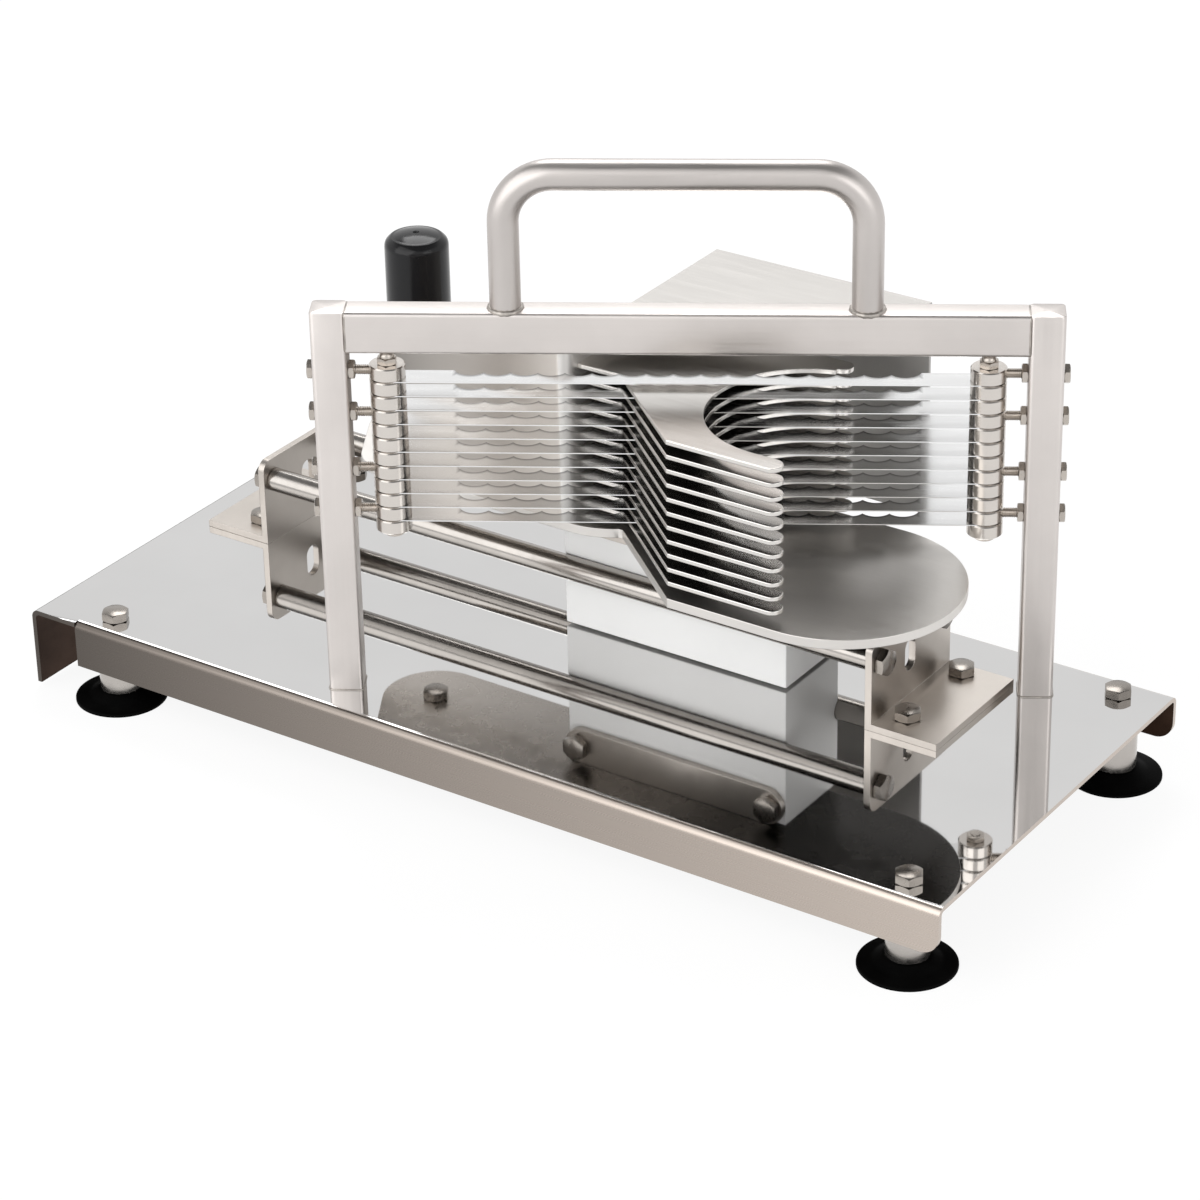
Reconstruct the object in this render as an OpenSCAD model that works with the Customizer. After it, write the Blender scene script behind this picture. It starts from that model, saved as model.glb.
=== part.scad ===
// Hand-pushed tomato slicer: a mirror-polished base on suction feet carries two guide rods and a
// blade frame set across them at an angle. A carriage of tray, finned pusher, hand guard and grip
// slides along the rods and drives its fins between the blades.
// Millimetres. Origin under the middle of the base, on the table. +X is the pushing direction.

/* [Base] */
// Length of the base plate
base_l = 430; // [400:1:500]
// Depth of the base plate, front to back
base_d = 186; // [184:1:230]
// Thickness of the base sheet
base_t = 2; // [1:0.5:3]
// Height of the base's top face above the table
base_h = 36; // [30:1:50]
// Drop of the folded front and rear flanges
flange_h = 20; // [10:1:22]
// Bare stretch of the long edges at the left end, before the flanges start
flange_gap = 23; // [4:1:60]
// Radius of the flanges' lower right corners
flange_r = 8; // [1:1:9]
// Drop of the folded left end
lip_h = 34; // [10:1:34]
// Outside radius of the base's folds
fold_r = 3.5; // [2.5:0.5:8]

/* [Feet] */
// Distance of the left feet from the left end
foot_in_left = 35; // [24:1:60]
// Distance of the right feet from the right end
foot_in_right = 19.5; // [19:0.5:40]
// Distance of the feet from the long edges
foot_in_y = 12; // [10:1:30]
// Diameter of a suction cup
cup_d = 38; // [30:1:50]
// Height of a suction cup where its spacer stands on it
cup_h = 4.5; // [3.5:0.5:8]
// Depth of the cup's hollow underside
cup_hollow = 2; // [1:0.5:3]
// Diameter of the cup's stem inside the spacer
stem_d = 10; // [8.5:0.5:12]
// Height of the stem above the cup
stem_h = 10; // [6:1:14]
// Diameter of the metal spacer on a cup
spacer_d = 17; // [14:1:20]

/* [Bolts] */
// Shank diameter of the hex bolts
bolt_d = 6; // [4:0.5:6]
// Width across flats of the hex heads
bolt_af = 10; // [8:0.5:11]
// Height of a hex head
bolt_head_h = 4; // [3:0.5:5]
// Height of a nut
nut_h = 5; // [3:0.5:6]

/* [Rods and brackets] */
// Diameter of the guide rods
rod_d = 10; // [8:0.5:12]
// Distance between the rods' axes
rod_pitch = 45; // [42:1:46]
// Height of the rods' axes above the base
rod_z = 28; // [24:1:29]
// Distance of the rod pair behind the middle of the base
rods_back = 34; // [30:0.5:35]
// Distance from the base's left end to the left bracket's inner face
bracket_in_left = 47; // [40:1:60]
// Distance from the base's right end to the right bracket's inner face
bracket_in_right = 89.5; // [89.5:0.5:100]
// Length of a bracket across the rods
bracket_l = 61; // [60:0.5:62]
// Distance of a bracket's middle behind the rod pair's middle
bracket_back = 1; // [0:0.5:1.5]
// Height of a bracket's upright leg
bracket_h = 38; // [36:1:45]
// Radius of the upright leg's upper corners
bracket_r = 5; // [1:0.5:8]
// Length of a bracket's foot, from its upright leg's inner face
bracket_foot = 32; // [28:0.5:32.5]
// Thickness of the bracket angle
bracket_t = 3; // [2:0.5:4]
// Distance between a bracket's two foot bolts
bracket_bolt_pitch = 42; // [30:1:43]
// Distance of the foot bolts' middle behind the rod pair's middle
bracket_bolt_back = 4; // [1:0.5:4.5]
// Width of the slot in the middle of an upright leg
bracket_slot_w = 8; // [4:1:12]
// Height of that slot
bracket_slot_h = 14; // [13:1:18]

/* [Slider block and tray] */
// Distance from the frame's middle back to the block's middle, with the stroke nearly done
carriage_back = 18; // [15:0.5:21]
// Place of the tray's middle line across the base
carriage_y = -1; // [-2:0.5:0]
// Length of the plastic slider block
block_l = 105; // [100:1:120]
// Width of the block between the rods
block_w = 40; // [39:0.5:42]
// Gap between the block and the base
block_lift = 1; // [0.5:0.5:3]
// Height of the tray's top face above the base
tray_z = 66; // [64:1:67]
// Thickness of the tray plate
tray_t = 4; // [2:0.5:5]
// Width of the tray
tray_w = 96; // [94:1:98]
// Distance from the block's middle to the centre of the tray's round right end
tray_nose_x = 86.5; // [80:0.5:95]
// Distance from the block's middle to the grip's axis at the tray's left end
tray_tail_x = 128.5; // [120:0.5:140]
// Radius of the tray's tail round the grip
tray_tail_r = 23; // [18:1:26]
// Distance from the block's middle to the tray's front left corner
tray_corner_x = 122; // [118:0.5:126]
// Radius of that corner
tray_corner_r = 16; // [10:1:20]
// Height of the steel strap that ties the tray to the block
strap_h = 16; // [14:1:20]
// Thickness of the strap
strap_t = 3; // [2:0.5:4]

/* [Pusher fins] */
// Thickness of a fin
fin_t = 2; // [1.5:0.1:3]
// Width across the fins' two arms
fin_w = 95; // [90:0.5:96]
// Radius of the round recess between a fin's two arms
recess_r = 39; // [36:0.5:40]
// Distance from the block's middle to the recess's centre
recess_x = 71; // [66:0.5:76]
// Distance from the block's middle to the near arm's tip
near_tip_x = 86.5; // [80:0.5:95]
// Distance from the block's middle to the far arm's tip
far_tip_x = 64.5; // [60:0.5:70]
// Distance from the block's middle to the near arm's outer corner
fin_corner_x = 38.5; // [30:0.5:45]
// Distance from the tray's middle forward to the fins' root
fin_root_y = 9; // [4:0.5:10]
// Distance from the block's middle back to the corner where the root's straight edge ends
fin_neck_x = 7; // [2:0.5:12]

/* [Hand guard and grip] */
// Thickness of the guard sheet
guard_t = 1.5; // [1:0.1:2]
// Distance from the block's middle back to the guard's middle panel
guard_x = 27.5; // [26:0.5:30]
// Distance from the tray's middle forward to the guard's front panel
guard_front_y = 16; // [13:0.5:18]
// Distance from the tray's middle to the guard's rear panel
guard_back_y = 93; // [80:0.5:94]
// Distance from the block's middle to the front panel's left end
guard_left_x = 116.5; // [100:0.5:118]
// Distance from the block's middle to the rear panel's right end
guard_right_x = 70.5; // [60:0.5:75]
// Rise of the guard's top edge above the top fin
guard_rise = 10; // [4:0.5:14]
// Drop of the rear panel's lower edge below the tray's top
guard_skirt = 16; // [6:1:20]
// Inside radius of the bend by the fins
guard_bend_front = 3.5; // [1:0.5:4]
// Inside radius of the bend at the back
guard_bend_back = 10; // [4:1:16]
// Radius of the front panel's upper left corner
guard_corner_r = 24; // [5:1:40]
// Distance of the guard's top plate behind the frame's middle, with the stroke nearly done
lid_back = 20; // [12:1:40]
// Diameter of the grip
grip_d = 26; // [22:1:32]
// Height of the grip above the tray
grip_h = 86; // [70:1:110]

/* [Blade frame] */
// Angle of the frame to the pushing direction
frame_angle = 31; // [30:0.5:31.5]
// Distance from the base's right end to the frame's middle
frame_in_right = 165.5; // [164:0.5:167]
// Place of the frame's middle across the base
frame_y = -2.5; // [-4:0.5:-1]
// Gap between the blade pins' axes and the posts
post_gap = 14.75; // [14:0.25:18]
// Gap between the pins' domed nuts and the top tube
rail_gap = 0.6; // [0.3:0.1:3]
// Width of a post
post_w = 13.5; // [11:0.5:14]
// Depth of the tubes
tube_d = 13; // [12:0.5:15]
// Height of the top tube
rail_h = 17; // [12:0.5:17]
// Wall of the tubes
tube_wall = 1.5; // [1:0.1:2.5]
// Radius of the tubes' long edges
tube_r = 1.8; // [1:0.1:3]
// Diameter of the carrying handle's bar
bar_d = 12; // [8:0.5:12.5]
// Distance between the handle's legs
handle_span = 136.5; // [100:0.5:160]
// Rise of the bar's axis above the frame
handle_rise = 54; // [40:1:70]
// Bend radius of the bar's axis
handle_r = 19; // [14:1:25]

/* [Blades] */
// Number of blades
blade_n = 11; // [10:1:11]
// Slice thickness, the gap between two blades
slice = 5.5; // [5.4:0.1:5.6]
// Thickness of a blade
blade_t = 0.4; // [0.3:0.05:0.5]
// Width of a blade at its plain ends
blade_w = 11; // [9:0.5:12]
// Distance between the two pins that carry the blades
blade_span = 228.5; // [227:0.5:230]
// Height of the lowest blade above the tray
blade_lift = 9; // [8.5:0.1:12]
// Pitch of the wavy edge's scallops
wave_pitch = 10.35; // [8:0.05:12]
// Radius of a scallop
wave_r = 6.5; // [6:0.1:9]
// Number of scallops on a blade
wave_n = 17; // [11:2:17]
// Setback of the wavy edge from the plain ends' edge
wave_setback = 2; // [1:0.1:3]
// Diameter of the spacers between the blades
stack_d = 14; // [11:0.5:15]
// Diameter of the pins through the spacers
pin_d = 4; // [3:0.5:5]
// Shank diameter of the tension screws
tension_d = 4; // [3:0.5:4.5]
// Width across flats of the tension screws and the pins' nuts
small_af = 7; // [6:0.5:8]

/* [Hidden] */
$fn = 64;
// Radial clearance of a bolt or pin in its hole
hole_gap = 0.15;
// Radial running clearance of the block's grooves on the rods
slide_gap = 0.08;
// Height of a tension screw's head, and of the small nuts
small_head_h = 2.4;
// Depth to which a bolt's end goes into a rod, the block or the grip
thread_in = 14;
base_under = base_h - base_t;
base_left = -base_l / 2;
base_right = base_l / 2;
rod_y = [rods_back - rod_pitch / 2, rods_back + rod_pitch / 2];
rod_left = base_left + bracket_in_left;
rod_right = base_right - bracket_in_right;
block_top = base_h + tray_z - tray_t;
tray_top = base_h + tray_z;
pitch = slice + blade_t;
blade_z = tray_z + blade_lift;
stack_top = blade_z + (blade_n - 1) * pitch + blade_t / 2 + slice;
stack_low = blade_z - blade_t / 2 - slice;
cap_hex_h = small_head_h + 0.4;
cap_dome_r = small_af / 2 - 0.6;
frame_l = blade_span + 2 * (post_gap + post_w);
frame_h = stack_top + cap_hex_h + cap_dome_r + rail_gap + rail_h;
frame_x = base_right - frame_in_right;
carriage_x = frame_x - carriage_back;
guard_top = base_h + blade_z + (blade_n - 1.5) * pitch + fin_t / 2 + guard_rise;
tension_rows = [0, 3, blade_n - 4, blade_n - 1];
fin_wall_x = -guard_x;
tip_r = (fin_w / 2 - recess_r) / 2;
tail_y = tray_w / 2 - tray_tail_r;
handle_top = frame_h + handle_rise;
strap_bolt_x = block_l / 2 - strap_h / 2 + 1;
// Height of the strap's bolts above the table
strap_z = block_top - strap_h / 2;
foot_places = [for (x = [base_left + foot_in_left, base_right - foot_in_right],
                    y = [-base_d / 2 + foot_in_y, base_d / 2 - foot_in_y]) [x, y]];
bracket_bolt_in = bracket_t + 0.9 * bolt_af;
bracket_bolt_mid = rods_back + bracket_bolt_back;
bracket_bolt_y = [bracket_bolt_mid - bracket_bolt_pitch / 2, bracket_bolt_mid + bracket_bolt_pitch / 2];
bracket_bolts_at = [for (x = [rod_left - bracket_bolt_in, rod_right + bracket_bolt_in],
                         y = bracket_bolt_y) [x, y]];
steel = "Silver";
polished = "Gainsboro";
edge_steel = "LightGray";

// Shared shapes

// Hexagon of the given width across flats, with its flats facing along Y
module hex(af, h) {
    cylinder(d = af / cos(30), h = h, $fn = 6);
}

// Bolt along Z: head above z = 0, shank of the given length below
module hex_bolt(length, d = bolt_d, af = bolt_af, head_h = bolt_head_h) {
    hex(af, head_h);
    translate([0, 0, -length]) cylinder(d = d, h = length);
}

// Through hole for a bolt along Z, below z = 0
module bolt_hole(length, d = bolt_d) {
    translate([0, 0, -length]) cylinder(d = d + 2 * hole_gap, h = length);
}

// Nut along Z, standing on z = 0
module hex_nut(d, af, h) {
    difference() {
        hex(af, h);
        translate([0, 0, -1]) cylinder(d = d + 2 * hole_gap, h = h + 2);
    }
}

// Touch points of the outer tangent of two circles, on the right of the way from a to b
function tangent(a, ra, b, rb) =
    let (way = b - a, dist = norm(way), u = way / dist, c = (ra - rb) / dist,
         side = [u[1], -u[0]] * sqrt(1 - c * c), out = u * c + side)
    [a + out * ra, b + out * rb];

// Flat outline round three circles, listed anticlockwise
module round_outline(centres, radii) {
    for (i = [0 : 2]) translate(centres[i]) circle(r = radii[i]);
    polygon([for (i = [0 : 2], p = tangent(centres[i], radii[i],
        centres[(i + 1) % 3], radii[(i + 1) % 3])) p]);
}

// Quarter ring from the given angle on
module quarter_ring(r_in, t, from) {
    rotate(from) intersection() {
        difference() {
            circle(r = r_in + t);
            circle(r = r_in);
        }
        square(r_in + t);
    }
}

module on_frame() {
    translate([frame_x, frame_y, base_h]) rotate(frame_angle) children();
}

module on_carriage(z, y = carriage_y) {
    translate([carriage_x, y, z]) children();
}

// Base and feet

// Cross-section of the base with both flanges folded down, seen along the rods, top face at y = 0
module base_section() {
    flat = base_d - 2 * fold_r;
    translate([-flat / 2, -base_t]) square([flat, base_t]);
    for (s = [0, 1]) mirror([s, 0]) {
        translate([flat / 2, -fold_r]) quarter_ring(fold_r - base_t, base_t, 0);
        translate([base_d / 2 - base_t, -flange_h]) square([base_t, flange_h - fold_r]);
    }
}

// Cut that rounds the lower right corner of both flanges, seen from the front
module flange_corner() {
    translate([base_right - flange_r, -flange_h]) difference() {
        translate([0, -1]) square(flange_r + 1);
        translate([0, flange_r]) circle(r = flange_r);
    }
}

// Left end with its lip folded down, seen from the front
module lip_section() {
    translate([base_left + fold_r, -base_t]) square([flange_gap - fold_r, base_t]);
    translate([base_left + fold_r, -fold_r]) quarter_ring(fold_r - base_t, base_t, 90);
    translate([base_left, -lip_h]) square([base_t, lip_h - fold_r]);
}

module base_plate() {
    color(polished) difference() {
        union() {
            difference() {
                translate([base_left + flange_gap, 0, base_h]) rotate([90, 0, 90])
                    linear_extrude(base_l - flange_gap) base_section();
                translate([0, base_d / 2 + 1, base_h]) rotate([90, 0, 0])
                    linear_extrude(base_d + 2) flange_corner();
            }
            translate([0, base_d / 2, base_h]) rotate([90, 0, 0]) linear_extrude(base_d) lip_section();
        }
        for (p = concat(foot_places, bracket_bolts_at))
            translate([p[0], p[1], base_h + 1]) bolt_hole(base_t + 2);
    }
}

module foot_cups() {
    rim = cup_d / 2;
    lip = 1.2;
    color([0.06, 0.06, 0.06]) for (p = foot_places) translate(p) difference() {
        rotate_extrude() polygon([[0, cup_hollow], [rim * 0.6, cup_hollow * 0.6], [rim - lip, 0], [rim, 0],
            [rim, lip], [spacer_d / 2, cup_h], [stem_d / 2, cup_h], [stem_d / 2, cup_h + stem_h],
            [0, cup_h + stem_h]]);
        translate([0, 0, cup_h + stem_h + 1]) bolt_hole(stem_h);
    }
}

module foot_spacers() {
    color(edge_steel) for (p = foot_places) translate([p[0], p[1], cup_h]) difference() {
        cylinder(d = spacer_d, h = base_under - cup_h);
        translate([0, 0, base_under]) bolt_hole(base_under + 1);
        translate([0, 0, -1]) cylinder(d = stem_d + 2 * hole_gap, h = stem_h + 1 + hole_gap);
    }
}

module foot_bolts() {
    into_stem = stem_h - 2;
    color(steel) for (p = foot_places)
        translate([p[0], p[1], base_h]) hex_bolt(base_h - cup_h - stem_h + into_stem);
}

// Brackets and rods

// Angle bracket with its inner face at x = 0 and its foot towards +X
module bracket() {
    color(edge_steel) difference() {
        translate([0, rods_back + bracket_back - bracket_l / 2, base_h]) {
            cube([bracket_foot, bracket_l, bracket_t]);
            rotate([90, 0, 90]) linear_extrude(bracket_t) {
                square([bracket_l, bracket_h - bracket_r]);
                translate([bracket_r, 0]) square([bracket_l - 2 * bracket_r, bracket_h]);
                for (y = [bracket_r, bracket_l - bracket_r])
                    translate([y, bracket_h - bracket_r]) circle(r = bracket_r);
            }
        }
        for (y = rod_y) translate([bracket_t + 1, y, base_h + rod_z]) rotate([0, 90, 0])
            bolt_hole(bracket_t + 2);
        for (y = bracket_bolt_y) translate([bracket_bolt_in, y, base_h + bracket_t + 1])
            bolt_hole(bracket_t + 2);
        translate([-1, rods_back, base_h + bracket_t + (bracket_h - bracket_t) / 2]) rotate([90, 0, 90])
            linear_extrude(bracket_t + 2) for (s = [-1, 1]) {
                translate([0, s * (bracket_slot_h - bracket_slot_w) / 2]) circle(d = bracket_slot_w);
                square([bracket_slot_w, bracket_slot_h - bracket_slot_w], center = true);
            }
    }
}

module bracket_left() {
    translate([rod_left, 0, 0]) mirror([1, 0, 0]) bracket();
}

module bracket_right() {
    translate([rod_right, 0, 0]) bracket();
}

module bracket_bolts() {
    past_nut = 2;
    color(steel) for (p = bracket_bolts_at)
        translate([p[0], p[1], base_h + bracket_t]) hex_bolt(bracket_t + base_t + nut_h + past_nut);
}

module bracket_nuts() {
    color(steel) for (p = bracket_bolts_at)
        translate([p[0], p[1], base_under - nut_h]) hex_nut(bolt_d, bolt_af, nut_h);
}

module rod(y) {
    length = rod_right - rod_left;
    color(steel) translate([rod_left, y, base_h + rod_z]) rotate([0, 90, 0]) difference() {
        cylinder(d = rod_d, h = length);
        for (z = [0, length]) translate([0, 0, z - thread_in - 1])
            cylinder(d = bolt_d + 2 * hole_gap, h = 2 * thread_in + 2);
    }
}

module rod_front() {
    rod(rod_y[0]);
}

module rod_rear() {
    rod(rod_y[1]);
}

module rod_screws() {
    color(steel) for (y = rod_y) {
        translate([rod_right + bracket_t, y, base_h + rod_z]) rotate([0, 90, 0])
            hex_bolt(bracket_t + thread_in);
        translate([rod_left - bracket_t, y, base_h + rod_z]) rotate([0, -90, 0])
            hex_bolt(bracket_t + thread_in);
    }
}

// Blade frame

// Outline of a tube with rounded edges, round the middle
module tube_outline(w, d, r) {
    square([w - 2 * r, d], center = true);
    square([w, d - 2 * r], center = true);
    for (x = [-1, 1], y = [-1, 1]) translate([x * (w / 2 - r), y * (d / 2 - r)]) circle(r = r);
}

// Square tube standing on the base, closed on top; side is -1 for the left post
module post(side) {
    middle = side * (frame_l - post_w) / 2;
    color(edge_steel) on_frame() translate([middle, 0, 0]) difference() {
        linear_extrude(frame_h) tube_outline(post_w, tube_d, tube_r);
        translate([-post_w / 2 + tube_wall, -tube_d / 2 + tube_wall, -1])
            cube([post_w - 2 * tube_wall, tube_d - 2 * tube_wall, frame_h - tube_wall + 1]);
        for (row = tension_rows) translate([post_w / 2 + 1, 0, blade_z + (row + 0.5) * pitch])
            rotate([0, 90, 0]) bolt_hole(post_w + 2, tension_d);
    }
}

module frame_post_left() {
    post(-1);
}

module frame_post_right() {
    post(1);
}

module frame_rail() {
    length = frame_l - 2 * post_w;
    color(edge_steel) on_frame() translate([-length / 2, 0, frame_h - rail_h / 2]) rotate([90, 0, 90])
        linear_extrude(length) difference() {
            tube_outline(tube_d, rail_h, tube_r);
            square([tube_d - 2 * tube_wall, rail_h - 2 * tube_wall], center = true);
        }
}

module carry_handle() {
    leg = handle_rise - handle_r;
    straight = handle_span - 2 * handle_r;
    color(steel) on_frame() {
        for (s = [0, 1]) mirror([s, 0, 0]) {
            translate([handle_span / 2, 0, frame_h]) cylinder(d = bar_d, h = leg);
            translate([straight / 2, 0, frame_h + leg]) rotate([90, 0, 0])
                rotate_extrude(angle = 90) translate([handle_r, 0]) circle(d = bar_d);
        }
        translate([-straight / 2, 0, handle_top]) rotate([0, 90, 0]) cylinder(d = bar_d, h = straight);
    }
}

// Blade cartridge

module blade_outline() {
    wave_l = wave_n * wave_pitch;
    crest = blade_w / 2 - wave_setback;
    centre_y = crest + sqrt(wave_r * wave_r - wave_pitch * wave_pitch / 4);
    difference() {
        union() {
            square([blade_span, blade_w], center = true);
            for (s = [-1, 1]) translate([s * blade_span / 2, 0]) circle(d = blade_w);
        }
        for (s = [-1, 1]) translate([s * blade_span / 2, 0]) circle(d = pin_d + 2 * hole_gap);
        translate([-wave_l / 2, crest]) square([wave_l, blade_w]);
        for (i = [0 : wave_n - 1])
            translate([(i + 0.5 - wave_n / 2) * wave_pitch, centre_y]) circle(r = wave_r);
    }
}

module blade(i) {
    color(polished) on_frame() translate([0, 0, blade_z + (i - 1) * pitch - blade_t / 2])
        linear_extrude(blade_t) blade_outline();
}

// Rings under, between and above the blades; side is -1 at the left post
module blade_spacers(side) {
    color(steel) on_frame() translate([side * blade_span / 2, 0, 0]) for (i = [-1 : blade_n - 1])
        difference() {
            translate([0, 0, blade_z + i * pitch + blade_t / 2]) difference() {
                cylinder(d = stack_d, h = slice);
                translate([0, 0, -1]) cylinder(d = pin_d + 2 * hole_gap, h = slice + 2);
            }
            for (row = tension_rows) if (row == i) translate([0, 0, blade_z + (row + 0.5) * pitch])
                rotate([0, side * 90, 0]) cylinder(d = tension_d + 2 * hole_gap, h = stack_d);
        }
}

module blade_spacers_left() {
    blade_spacers(-1);
}

module blade_spacers_right() {
    blade_spacers(1);
}

module stack_pins() {
    past_nut = 0.4;
    low = stack_low - small_head_h - past_nut;
    color(steel) on_frame() for (s = [-1, 1]) translate([s * blade_span / 2, 0, low])
        cylinder(d = pin_d, h = stack_top + small_head_h - low);
}

// Domed nut on top of each pin
module stack_cap_nuts() {
    color(steel) on_frame() for (s = [-1, 1]) translate([s * blade_span / 2, 0, stack_top]) difference() {
        union() {
            hex(small_af, cap_hex_h);
            translate([0, 0, cap_hex_h]) rotate_extrude() intersection() {
                circle(r = cap_dome_r);
                square(cap_dome_r);
            }
        }
        translate([0, 0, -1]) cylinder(d = pin_d + 2 * hole_gap, h = small_head_h + 1.2);
    }
}

module stack_nuts() {
    color(steel) on_frame() for (s = [-1, 1])
        translate([s * blade_span / 2, 0, stack_low - small_head_h]) hex_nut(pin_d, small_af, small_head_h);
}

// Screws from outside each post into the spacers, which pull the blades tight
module tension_screws() {
    reach = (frame_l - blade_span) / 2 - pin_d / 2 - 1;
    color(steel) on_frame() for (side = [-1, 1], row = tension_rows)
        translate([side * frame_l / 2, 0, blade_z + (row + 0.5) * pitch]) rotate([0, side * 90, 0])
            hex_bolt(reach, tension_d, small_af, small_head_h);
}

module tension_nuts() {
    inner = frame_l / 2 - post_w - small_head_h;
    color(steel) on_frame() for (side = [-1, 1], row = tension_rows)
        translate([side * inner, 0, blade_z + (row + 0.5) * pitch]) rotate([0, side * 90, 0])
            hex_nut(tension_d, small_af, small_head_h);
}

// Carriage

module slider_block() {
    groove_r = rod_d / 2 + slide_gap;
    height = block_top - base_h - block_lift;
    color("White") on_carriage(base_h + block_lift, rods_back) difference() {
        translate([-block_l / 2, -block_w / 2, 0]) cube([block_l, block_w, height]);
        for (s = [-1, 1]) {
            translate([-block_l / 2 - 1, s * rod_pitch / 2, rod_z - block_lift]) rotate([0, 90, 0])
                cylinder(r = groove_r, h = block_l + 2);
            translate([s * strap_bolt_x, -block_w / 2 - 1, strap_z - base_h - block_lift])
                rotate([90, 0, 0]) bolt_hole(thread_in + 2);
        }
    }
}

// Strap under the tray's middle, bolted to the block's front face
module tray_strap() {
    end_x = block_l / 2 - strap_h / 2;
    color(edge_steel) on_carriage(strap_z, rods_back - block_w / 2) difference() {
        rotate([90, 0, 0]) linear_extrude(strap_t) {
            for (s = [-1, 1]) translate([s * end_x, 0]) circle(d = strap_h);
            square([2 * end_x, strap_h], center = true);
        }
        for (s = [-1, 1]) translate([s * strap_bolt_x, -strap_t - 1, 0]) rotate([90, 0, 0])
            bolt_hole(strap_t + 2);
    }
}

module strap_bolts() {
    color(steel) on_carriage(strap_z, rods_back - block_w / 2 - strap_t) for (s = [-1, 1])
        translate([s * strap_bolt_x, 0, 0]) rotate([90, 0, 0]) hex_bolt(strap_t + thread_in);
}

// Plan of the tray: left part under the guard's front panel and the grip, right part in line with the fins
module tray_outline() {
    half = tray_w / 2;
    root_y = fin_root_y + 1;
    left_r = (half + guard_front_y) / 2;
    round_outline(
        [[-tray_corner_x, tray_corner_r - guard_front_y], [-guard_x, half - left_r], [-tray_tail_x, tail_y]],
        [tray_corner_r, left_r, tray_tail_r]);
    polygon([[-guard_x, -root_y], [-fin_neck_x, -root_y], [fin_corner_x, -half],
        [tray_nose_x, -half], [tray_nose_x, half], [-guard_x, half]]);
    translate([tray_nose_x, 0]) circle(r = half);
}

module tray() {
    color(polished) on_carriage(block_top) difference() {
        linear_extrude(tray_t) tray_outline();
        translate([-tray_tail_x, tail_y, tray_t + 1]) bolt_hole(tray_t + 2);
    }
}

// Fork with a round recess: slanted near side, straight far side, round-ended arms
module fin_outline() {
    half = fin_w / 2;
    difference() {
        union() {
            polygon([[fin_wall_x, -fin_root_y], [-fin_neck_x, -fin_root_y], [fin_corner_x, -half],
                [near_tip_x - tip_r, -half],
                [near_tip_x - tip_r, 0], [far_tip_x - tip_r, 0], [far_tip_x - tip_r, half],
                [fin_wall_x, half]]);
            translate([near_tip_x - tip_r, tip_r - half]) circle(r = tip_r);
            translate([far_tip_x - tip_r, half - tip_r]) circle(r = tip_r);
        }
        translate([recess_x, 0]) circle(r = recess_r);
        translate([recess_x, -recess_r]) square([near_tip_x, 2 * recess_r]);
    }
}

module fin(i) {
    z = base_h + blade_z + (i - 1.5) * pitch - fin_t / 2;
    color(polished) on_carriage(z) linear_extrude(fin_t) fin_outline();
}

// Plan of the guard: front panel, middle panel behind the fins, rear panel
module guard_plan() {
    inner_x = -guard_x - guard_t;
    front_r = guard_bend_front;
    back_r = guard_bend_back;
    translate([-guard_left_x, -guard_front_y])
        square([guard_left_x + inner_x - front_r, guard_t]);
    translate([inner_x - front_r, front_r + guard_t - guard_front_y])
        quarter_ring(front_r, guard_t, -90);
    translate([inner_x, front_r + guard_t - guard_front_y])
        square([guard_t, guard_front_y + guard_back_y - front_r - back_r - 2 * guard_t]);
    translate([back_r - guard_x, guard_back_y - guard_t - back_r]) quarter_ring(back_r, guard_t, 90);
    translate([back_r - guard_x, guard_back_y - guard_t])
        square([guard_right_x + guard_x - back_r, guard_t]);
}

// Plan of the guard's top plate: the corner behind the blade frame, cut off in line with the frame
module guard_lid() {
    left_x = -guard_x - guard_t;
    intersection() {
        translate([left_x, -guard_front_y])
            square([guard_right_x - left_x, guard_front_y + guard_back_y]);
        translate([frame_x - carriage_x, frame_y - carriage_y]) rotate(frame_angle)
            translate([-base_l, lid_back]) square([2 * base_l, base_l]);
    }
}

module hand_guard() {
    skirt_gap = 1;
    skirt_y = max(tray_w / 2, rods_back + block_w / 2 - carriage_y) + skirt_gap;
    color(polished) on_carriage(0) {
        difference() {
            translate([0, 0, tray_top]) linear_extrude(guard_top - tray_top) guard_plan();
            translate([-guard_left_x, 1 - guard_front_y + guard_t, guard_top - guard_corner_r])
                rotate([90, 0, 0]) linear_extrude(guard_t + 2) difference() {
                    translate([-1, 0]) square([guard_corner_r + 1, guard_corner_r + 1]);
                    translate([guard_corner_r, 0]) circle(r = guard_corner_r);
                }
        }
        translate([0, 0, guard_top - guard_t]) linear_extrude(guard_t) guard_lid();
        translate([0, 0, tray_top - guard_skirt]) linear_extrude(guard_skirt) intersection() {
            guard_plan();
            translate([-guard_left_x, skirt_y]) square([guard_left_x + guard_right_x, guard_back_y]);
        }
    }
}

module grip() {
    r = grip_d / 2;
    edge = 3;
    crown = 2;
    dimple_d = 3;
    color([0.08, 0.08, 0.09]) on_carriage(tray_top) translate([-tray_tail_x, tail_y, 0]) difference() {
        union() {
            cylinder(r = r, h = grip_h - edge - crown);
            translate([0, 0, grip_h - edge - crown]) rotate_extrude() {
                square([r - edge, edge + crown / 2]);
                translate([r - edge, 0]) intersection() {
                    circle(r = edge);
                    square(edge);
                }
            }
            translate([0, 0, grip_h - crown]) cylinder(r1 = r - edge, r2 = dimple_d, h = crown);
        }
        translate([0, 0, grip_h - crown]) cylinder(d = dimple_d, h = crown + 1);
        translate([0, 0, thread_in]) bolt_hole(thread_in + 1);
    }
}

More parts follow.
